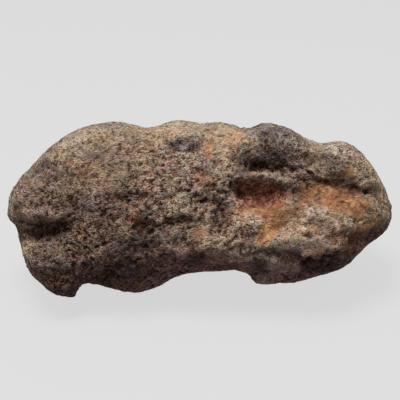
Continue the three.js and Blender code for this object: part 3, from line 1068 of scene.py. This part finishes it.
    def grain(self, tree: bpy.types.NodeTree, found: dict[str, Link]) -> Link:
        """Work out how light or dark the grains make each place.

        Args:
            tree: The material's tree.
            found: The patterns by name.

        Returns:
            A colour to multiply the cover by.
        """
        parts = []
        for lift in self.lifts:
            reach = {"From Min": lift.low, "From Max": lift.high, "Value": found[lift.pattern]}
            parts.append((add_node(tree, "MapRange", reach), lift.most))
        reach = {"From Min": self.lift_low, "From Max": self.lift_high}
        light = add_node(tree, "MapRange", reach | {"Value": mixture(tree, parts)})
        shade = add_node(tree, "ValToRGB", {"stops": ramp(self.lights), "Fac": light})
        dirt = [(found[name], share) for name, share in self.contrast]
        dirt = mixture(tree, dirt, self.contrast_least)
        shade = add_node(tree, "Gamma", {"Color": shade, "Gamma": dirt})
        for cast in self.casts:
            sway = {0: found[cast.pattern].outputs["Color"], 1: cast.sway, 2: cast.least}
            colour = add_node(tree, "VectorMath", {"operation": "MULTIPLY_ADD"} | sway)
            shade = add_node(tree, "VectorMath", {"operation": "MULTIPLY", 0: shade, 1: colour})
        return shade

    def colour(self, tree: bpy.types.NodeTree, found: dict[str, Link], powder: Link) -> Link:
        """Work out the rock's colour.

        Args:
            tree: The material's tree.
            found: The patterns by name.
            powder: How thick the powder of rust and dust lies.

        Returns:
            The colour.
        """
        dusty = {"Color1": self.grain(tree, found), "Color2": linear(self.powder_light)}
        grain = add_node(tree, "MixRGB", dusty | {"Fac": powder})
        both = {0: self.cover(tree, found), 1: grain}
        shade = add_node(tree, "VectorMath", {"operation": "MULTIPLY"} | both)
        for veil in self.veils:
            held = mixture(tree, [(found[veil.pattern], veil.share)])
            both = {"Fac": held, "Color1": shade, "Color2": linear(veil.colour)}
            shade = add_node(tree, "MixRGB", {"blend_type": "MULTIPLY"} | both)
        return shade

    def material(self) -> bpy.types.Material:
        """Build the finish.

        Returns:
            The stone's material.
        """
        material = bpy.data.materials.new("WeatheredBreccia")
        tree = clear_tree(material)
        found = self.fields(tree)
        powder = mixture(tree, [(found[name], share) for name, share in self.powder])
        bare = {"To Min": 1.0, "To Max": self.powder_relief, "Value": powder}
        bare = add_node(tree, "MapRange", bare)
        found["open"] = add_node(tree, "Math", {"operation": "MULTIPLY", 0: found["gap"], 1: bare})
        height = mixture(tree, [(found[name], share) for name, share in self.finest])
        bump = {"Distance": self.bump, "Height": height, "Strength": bare}
        rough = {"From Min": 0.2, "From Max": 0.8, "Value": found["grit"]}
        rough |= {"To Min": self.rough_least, "To Max": self.rough_most}
        surface = {
            "Base Color": self.colour(tree, found, powder),
            "Roughness": add_node(tree, "MapRange", rough),
            "Normal": add_node(tree, "Bump", bump),
            "IOR": self.ior,
            "Specular IOR Level": self.specular,
            "Diffuse Roughness": self.diffuse_roughness,
        }
        surface = add_node(tree, "BsdfPrincipled", surface)
        add_node(tree, "OutputMaterial", {"Surface": surface})
        return material


@dataclass
class Stone:
    """The stone itself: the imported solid, refined and given its crumbly skin."""

    node: str = "meteorite"
    slot: str = "breccia"
    body: str = "root"
    name: str = "Meteorite"
    finish: WeatheredBreccia = field(default_factory=WeatheredBreccia)
    # The refined mesh: how near two corners are one, how often faces are split, and their size.
    weld: float = 0.01 * MM
    splits: int = 2
    skin_grid: float = 0.74 * MM
    ease_rounds: int = 2
    ease_share: float = 0.5
    # Rounds of averaging that leave out crumbs, then lumps, then all but the way a side faces.
    crumb_rounds: int = 3
    lump_rounds: int = 12
    side_rounds: int = 60
    # How far down a side faces where the underside's painted shade starts and is full.
    under_start: float = 0.1
    under_full: float = -0.75

    def smooth_copy(self, source: bpy.types.Object) -> bpy.types.Object:
        """Make an even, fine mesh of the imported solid.

        Args:
            source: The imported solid's own object, which is left as it is.

        Returns:
            A new object with small even faces on the same surface.
        """
        piece = put(self.name, source.data.copy())
        piece.data.materials.clear()
        weld = piece.modifiers.new("Weld", "WELD")
        weld.merge_threshold = self.weld
        round_off = piece.modifiers.new("Round", "SUBSURF")
        round_off.levels = self.splits
        even = piece.modifiers.new("Even", "REMESH")
        even.mode = "VOXEL"
        even.voxel_size = self.skin_grid
        even.use_smooth_shade = True
        ease = piece.modifiers.new("Ease", "SMOOTH")
        ease.factor = self.ease_share
        ease.iterations = self.ease_rounds
        seen = piece.evaluated_get(bpy.context.evaluated_depsgraph_get())
        mesh = bpy.data.meshes.new_from_object(seen)
        piece.modifiers.clear()
        piece.data = mesh
        mesh.name = self.name
        return piece

    def skin(self, mesh: bpy.types.Mesh) -> None:
        """Push the skin out and in, and write down what the finish needs to know of it.

        Args:
            mesh: The smooth stone, which is changed.
        """
        points = np.array([vertex.co for vertex in mesh.vertices])
        normals = np.array([normal.vector for normal in mesh.vertex_normals])
        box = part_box(self.node)
        heights, known = Relief(box).heights(points, normals)
        moved = np.clip(points + normals * heights[:, None], np.array(box[0]), np.array(box[1]))
        mesh.vertices.foreach_set("co", moved.ravel())
        mesh.update()
        near = neighbour_mean(mesh, moved, self.crumb_rounds)
        wide = neighbour_mean(mesh, near, self.lump_rounds)
        facing = neighbour_mean(mesh, normals, self.side_rounds)[:, 2]
        # Painted light and shade for the finish: crests and swells lighter and hollows darker, skin
        # that faces up lighter, and the underside darker.
        known["crest"] = np.einsum("ij,ij->i", moved - near, normals) / MM
        known["swell"] = np.einsum("ij,ij->i", near - wide, normals) / MM
        known["sill"] = np.array([normal.vector.z for normal in mesh.vertex_normals])
        known["under"] = smoothstep(self.under_start, self.under_full, facing)
        for key in KNOWN:
            layer = mesh.attributes.new(key, "FLOAT", "POINT")
            layer.data.foreach_set("value", known[key].astype(np.float32))

    def build(self, source: bpy.types.Object) -> bpy.types.Object:
        """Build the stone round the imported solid's place.

        Args:
            source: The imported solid's own object.

        Returns:
            The finished piece.
        """
        piece = self.smooth_copy(source)
        self.skin(piece.data)
        piece.data.materials.append(self.finish.material())
        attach(piece, self.body)
        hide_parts(self.node)
        return piece


@dataclass(frozen=True)
class StudioPaper:
    """Pale matt backdrop paper, lit evenly from behind so that it stays plain."""

    colour: str = "454545"
    glow: float = 0.645

    def material(self) -> bpy.types.Material:
        """Build the finish.

        Returns:
            The paper's material.
        """
        material = bpy.data.materials.new("StudioPaper")
        tree = clear_tree(material)
        surface = {"Base Color": linear(self.colour), "Roughness": 1.0, "Specular IOR Level": 0.0}
        surface |= {"Emission Color": WHITE, "Emission Strength": self.glow}
        surface = add_node(tree, "BsdfPrincipled", surface)
        add_node(tree, "OutputMaterial", {"Surface": surface})
        return material


@dataclass
class Studio:
    """The pale floor and its backdrop, the soft lights and the camera."""

    box: Box
    face: Face = field(default_factory=Face)
    paper: StudioPaper = field(default_factory=StudioPaper)
    floor_reach: float = 5.0
    lamp_at: tuple[float, float, float] = (-0.15, -0.25, 1.0)
    lamp_aim: tuple[float, float, float] = (0.0, 0.0, 0.03)
    lamp_size: float = 0.45
    lamp_watts: float = 13.3
    # How bright the room is below and above, and how steeply down and up that is.
    sky_low: float = 0.28
    sky_high: float = 0.46
    sky_from: float = -0.5
    sky_to: float = 0.6
    lens_mm: float = 100.0
    nearest: float = 10 * MM

    def build(self) -> None:
        """Put up the floor, the lights and the camera."""
        self.floor()
        self.lamp()
        self.sky()
        self.camera()

    def place(self, name: str, data: Any, at: Vector, aim: Vector) -> bpy.types.Object:
        """Put a lamp or a camera in its place.

        Args:
            name: Its name.
            data: The lamp or the camera.
            at: Where it is.
            aim: What it looks at.

        Returns:
            Its object.
        """
        thing = put(name, data)
        thing.location = at
        thing.rotation_euler = (aim - at).to_track_quat("-Z", "Y").to_euler()
        log.info("%s stands at %s", name, tuple(round(v, 3) for v in at))
        return thing

    def floor(self) -> None:
        """Lay the floor and stand a backdrop round it, neither of which lights the stone."""
        reach = self.floor_reach
        square = ((-reach, -reach), (reach, -reach), (reach, reach), (-reach, reach))
        corners = [(x, y, z) for z in (0.0, reach) for x, y in square]
        walls = [(k, (k + 1) % 4, (k + 1) % 4 + 4, k + 4) for k in range(4)]
        paper = self.paper.material()
        for name, faces in (("Floor", [(0, 1, 2, 3)]), ("Backdrop", walls)):
            mesh = bpy.data.meshes.new(name)
            mesh.from_pydata(corners, [], faces)
            mesh.materials.append(paper)
            sheet = put(name, mesh)
            sheet.visible_diffuse = False
            if name == "Backdrop":
                sheet.visible_glossy = False
                sheet.visible_shadow = False
            log.info("%s reaches %g m", name, reach)

    def lamp(self) -> None:
        """Hang the soft round lamp overhead."""
        lamp = bpy.data.lights.new("Overhead", "AREA")
        lamp.shape, lamp.size, lamp.energy = "DISK", self.lamp_size, self.lamp_watts
        self.place("Overhead", lamp, Vector(self.lamp_at), Vector(self.lamp_aim))

    def sky(self) -> None:
        """Light the room from all round, less from below."""
        world = bpy.data.worlds.new("Studio")
        bpy.context.scene.world = world
        tree = clear_tree(world)
        way = add_node(tree, "TexCoord").outputs["Generated"]
        height = add_node(tree, "SeparateXYZ", {0: way}).outputs["Z"]
        glow = {"From Min": self.sky_from, "From Max": self.sky_to, "Value": height}
        glow |= {"To Min": self.sky_low, "To Max": self.sky_high}
        glow = add_node(tree, "MapRange", glow)
        back = add_node(tree, "Background", {"Color": WHITE, "Strength": glow})
        add_node(tree, "OutputWorld", {"Surface": back})

    def camera(self) -> None:
        """Set up the camera, looking straight at the leaning face from the eye's place."""
        camera = bpy.data.cameras.new("Camera")
        camera.lens = self.lens_mm
        camera.clip_start = self.nearest
        aim = self.face.sight(self.box)
        at = aim + self.face.axes()[2] * self.face.reach
        bpy.context.scene.camera = self.place("Camera", camera, Vector(at), Vector(aim))


def main() -> None:
    """Build the stone and its studio."""
    logging.basicConfig(level=logging.INFO, format="%(name)s: %(message)s")
    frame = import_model()
    stone = Stone().build(frame["nodes"]["meteorite"])
    log.info("%s has %d faces", stone.name, len(stone.data.polygons))
    Studio(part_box("meteorite")).build()
    bpy.context.scene.view_settings.view_transform = "Standard"
    bpy.context.view_layer.update()


if __name__ == "__main__":
    main()
